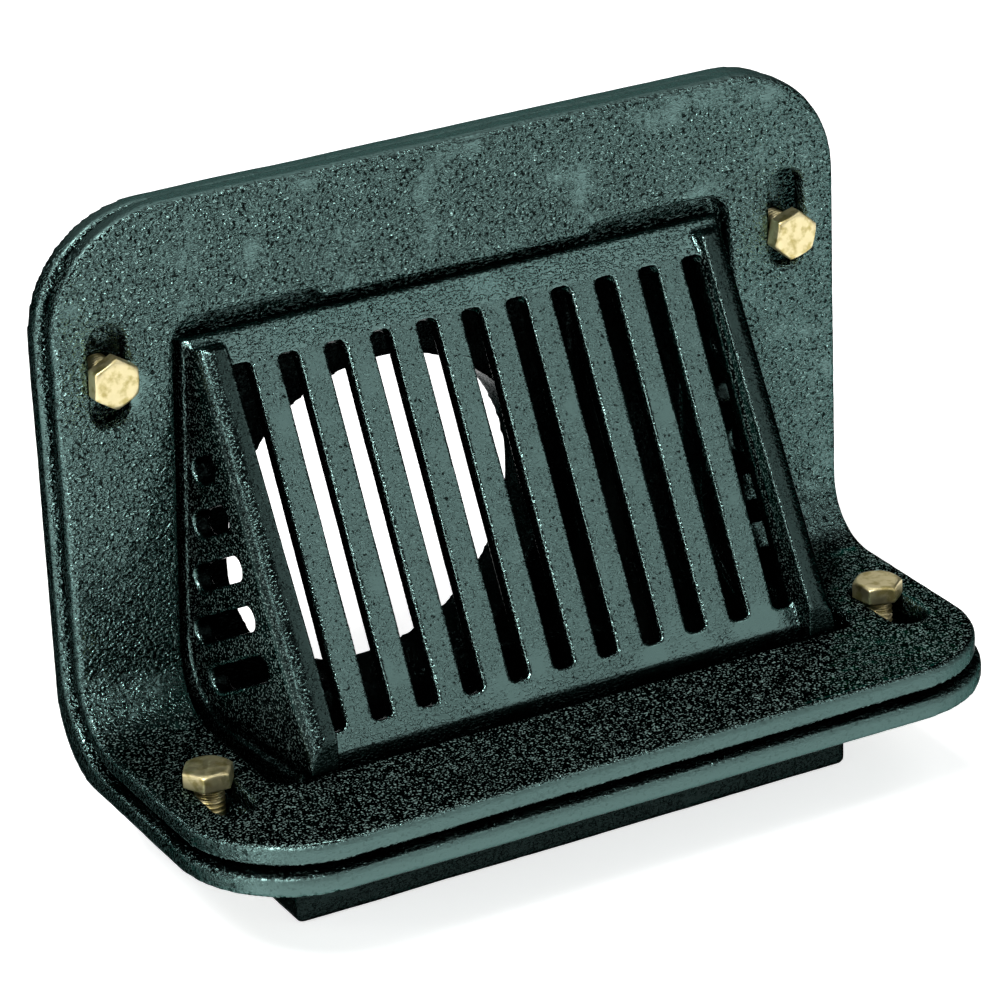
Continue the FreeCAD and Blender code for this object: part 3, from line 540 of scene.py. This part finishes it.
def cast_enamel(name, dark, pale, grain_depth, pit_depth, pit_share, gloss):
    """Thin glossy green enamel on a sand casting, dark and mirror-like as the iron shows through it: fine
    grain drawn out across the drain and small pits painted black as painted shade between smoother patches,
    a pebbled skin, painted shade on the deck, the sides and the cheeks with dull pale painted glints on the
    deck and cheeks, a painted highlight along the edges, and painted shade in black inside, below the flange
    and in the gap under the clamp."""
    material, tree, shader, coords = new_material(name)
    grain = noise(tree, drawn_out(tree, coords, GRAIN_DRAW), GRAIN_SIZE, 1)
    relief = ramp(tree, grain, [(0.46, grey(0)), (0.70, grey(1))])
    paint = ramp(tree, grain, [(0.35, dark), (0.45, ENAMEL_GREEN), (0.58, ENAMEL_GREEN), (0.72, pale)])
    pits = noise(tree, coords, PIT_SIZE, 1)
    pits = ramp(tree, pits, [(pit_share - 0.05, grey(0)), (pit_share + 0.04, grey(1))])
    smooth = ramp(tree, noise(tree, coords, PATCH_SIZE, 4), [(0.54, grey(0)), (0.72, grey(0.9))])
    ground = attribute(tree, "ground")
    deck = attribute(tree, "deck")
    # painted glints: pale dots on the deck and the cheeks
    glint_specks = ramp(tree, noise(tree, coords, SPECK_SIZE, 0), [(0.60, grey(0)), (0.72, grey(1))])
    glint_specks = mix(tree, deck, grey(0), glint_specks)
    smooth = mix(tree, ground, smooth, grey(0.85))
    smooth = mix(tree, deck, smooth, grey(1.0))
    relief = mix(tree, smooth, relief, grey(0.3))
    pits = mix(tree, smooth, pits, grey(1.0))
    paint = mix(tree, smooth, paint, ENAMEL_GREEN)
    paint = mix(tree, ground, paint, EDGE_GREEN)
    # painted shade: darker paint on the deck and the cheeks
    paint = mix(tree, deck, paint, DECK_PAINTED_SHADE)
    # painted shade: the pits painted black
    paint = mix(tree, pits, PIT_PAINTED_SHADE, paint)
    # painted shade: sides and crests painted darker
    flank_shade_share = ramp(tree, attribute(tree, "flank_shade"), [(0, grey(0)), (1, grey(0.82))])
    paint = mix(tree, flank_shade_share, paint, FLANK_PAINTED_SHADE)
    paint = mix(tree, glint_specks, paint, PAINTED_GLINT_PALE)
    # painted highlight: paler paint on ridges and edges
    ridge_highlight_share = ramp(tree, attribute(tree, "edge_shade"), [(0.15, grey(0)), (0.7, grey(0.6))])
    paint = mix(tree, ridge_highlight_share, paint, ENAMEL_PALE)
    # painted shade: black inside, below the flange, at the grate's foot and in the gap under the clamp
    paint = mix(tree, attribute(tree, "inside"), paint, PAINTED_SHADE_BLACK)
    tree.links.new(paint, shader.inputs["Base Color"])
    shader.inputs["Metallic"].default_value = 1.0
    shader.inputs["Specular Tint"].default_value = ENAMEL_GRAZING
    rough = ramp(tree, noise(tree, coords, GLOSS_SIZE, 5), [(0.3, grey(gloss)), (0.75, grey(gloss + 0.08))])
    rough = mix(tree, ground, rough, grey(EDGE_ROUGHNESS))
    rough = mix(tree, glint_specks, rough, grey(SPECK_ROUGHNESS))
    tree.links.new(rough, shader.inputs["Roughness"])
    pebbles = noise(tree, coords, PEBBLE_SIZE, 2, 0.55)
    add_bump(tree, shader, [(pits, pit_depth), (pebbles, pit_depth), (relief, grain_depth)])
    return material


def yellow_zinc():
    """Yellow zinc plating on steel: pale gold with olive clouds and a fine grain."""
    material, tree, shader, coords = new_material("yellow_zinc_plating")
    clouds = ramp(tree, noise(tree, coords, 3.2 * MM, 4), [
        (0.36, (0.48, 0.40, 0.16)), (0.52, (0.74, 0.65, 0.37)), (0.75, (0.76, 0.67, 0.40)),
    ])
    tree.links.new(clouds, shader.inputs["Base Color"])
    shader.inputs["Metallic"].default_value = 1.0
    rough = ramp(tree, noise(tree, coords, 2.5 * MM, 4), [(0.3, grey(0.38)), (0.75, grey(0.52))])
    tree.links.new(rough, shader.inputs["Roughness"])
    add_bump(tree, shader, [(noise(tree, coords, 0.8 * MM, 3), 0.03 * MM)])
    return material


def plain_floor():
    """White sweep that the drain stands on, a little greyer away from it, and glowing: painted light,
    brightest around the drain and dimmer away from it.
    """
    material, tree, shader, coords = new_material("white_sweep")
    far = tree.nodes.new("ShaderNodeVectorMath")
    far.operation = "DISTANCE"
    tree.links.new(coords, far.inputs[0])
    far.inputs[1].default_value = SWEEP_MIDDLE
    away = far.outputs["Value"]
    tone = ramp(tree, away, [(SWEEP_WHITE, grey(0.94)), (SWEEP_GREY, grey(0.8))], "EASE")
    # painted light: the floor glows, brightest around the drain
    glow = ramp(tree, away, [(SWEEP_WHITE, grey(0.72)), (SWEEP_GREY, grey(0.46))], "EASE")
    tree.links.new(tone, shader.inputs["Base Color"])
    tree.links.new(glow, shader.inputs["Emission Color"])
    shader.inputs["Emission Strength"].default_value = 1.0
    shader.inputs["Roughness"].default_value = 0.9
    shader.inputs["Specular IOR Level"].default_value = 0.1
    return material


def add_floor():
    """Floor sheet just under the drain's lowest point."""
    low = cad_box[0].z - 0.1 * MM
    corners = [(x * FLOOR_REACH, y * FLOOR_REACH, low) for x, y in ((-1, -1), (1, -1), (1, 1), (-1, 1))]
    mesh = bpy.data.meshes.new("floor")
    mesh.from_pydata(corners, [], [(0, 1, 2, 3)])
    floor = link("floor", mesh)
    mesh.materials.append(plain_floor())


def add_area_light(name, place, size, power):
    """Soft rectangular light that faces the drain."""
    lamp = bpy.data.lights.new(name, "AREA")
    lamp.shape = "RECTANGLE"
    lamp.size, lamp.size_y = size
    lamp.energy = power
    light = bpy.data.objects.new(name, lamp)
    light.location = place
    light.rotation_euler = (Vector(LIGHT_TARGET) - Vector(place)).to_track_quat("-Z", "Y").to_euler()
    bpy.context.scene.collection.objects.link(light)


def add_lights():
    """Soft studio light: a key softbox up on the left, two pale panels in front on the right whose
    reflections lie in the grate's face, its top band and the cove, a strip on the left for the crest, two
    small lamps behind for glints on the deck and the cheek, and a strip behind for the upper rims."""
    for light in LIGHTS:
        add_area_light(*light)
    world = bpy.data.worlds.new("studio")
    world.use_nodes = True
    background = world.node_tree.nodes["Background"]
    background.inputs["Color"].default_value = (0.9, 1.0, 0.98, 1)
    background.inputs["Strength"].default_value = 0.02
    bpy.context.scene.world = world


def add_camera():
    """Camera at the photograph's viewing angle."""
    azimuth = math.radians(CAMERA_AZIMUTH)
    elevation = math.radians(CAMERA_ELEVATION)
    roll = math.radians(CAMERA_ROLL)
    back = Vector((math.sin(azimuth) * math.cos(elevation), -math.cos(azimuth) * math.cos(elevation),
                   math.sin(elevation)))
    level = Vector((math.cos(azimuth), math.sin(azimuth), 0))
    upright = back.cross(level)
    right = level * math.cos(roll) + upright * math.sin(roll)
    up = upright * math.cos(roll) - level * math.sin(roll)
    camera = bpy.data.objects.new("camera", bpy.data.cameras.new("camera"))
    camera.data.sensor_width = 36
    camera.data.lens = CAMERA_LENS
    camera.data.clip_start = 0.05
    camera.data.clip_end = 60
    turn = Matrix((right, up, back)).transposed().to_4x4()
    camera.matrix_world = Matrix.Translation(Vector(CAMERA_PLACE)) @ turn
    bpy.context.scene.collection.objects.link(camera)
    bpy.context.scene.camera = camera


def dress(piece, node, material):
    """Give a casting's skin its enamel and let it stand for its node."""
    piece.data.materials.clear()
    piece.data.materials.append(material)
    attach(piece, "root")
    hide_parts(node)


bolt_plating = yellow_zinc()
body_enamel = cast_enamel("body_enamel", ENAMEL_DARK, ENAMEL_PALE, 0.30 * MM, 0.16 * MM, 0.37, 0.12)
clamp_enamel = cast_enamel("clamp_enamel", ENAMEL_DARK, ENAMEL_PALE, 0.36 * MM, 0.20 * MM, 0.38, 0.11)
grate_enamel = cast_enamel("grate_enamel", GRATE_DARK, GRATE_PALE, 0.13 * MM, 0.06 * MM, 0.31, 0.15)

dress(cast_skin("drain_body", "body_casting", 1.35 * MM, 2, 0.05 * MM, 0.16 * MM, 11, keep=0.52),
      "drain_body", body_enamel)
dress(cast_skin("flashing_clamp", "clamp_casting", 0.95 * MM, 2, 0.06 * MM, 0.16 * MM, 23),
      "flashing_clamp", clamp_enamel)
dress(cast_skin("grate", "grate_casting", 0.8 * MM, 2, 0.03 * MM, 0.12 * MM, 37, keep=0.58),
      "grate", grate_enamel)
for bolt in BOLTS:
    make_bolt(*bolt)

add_floor()
add_lights()
add_camera()
bpy.context.scene.view_settings.view_transform = "Standard"
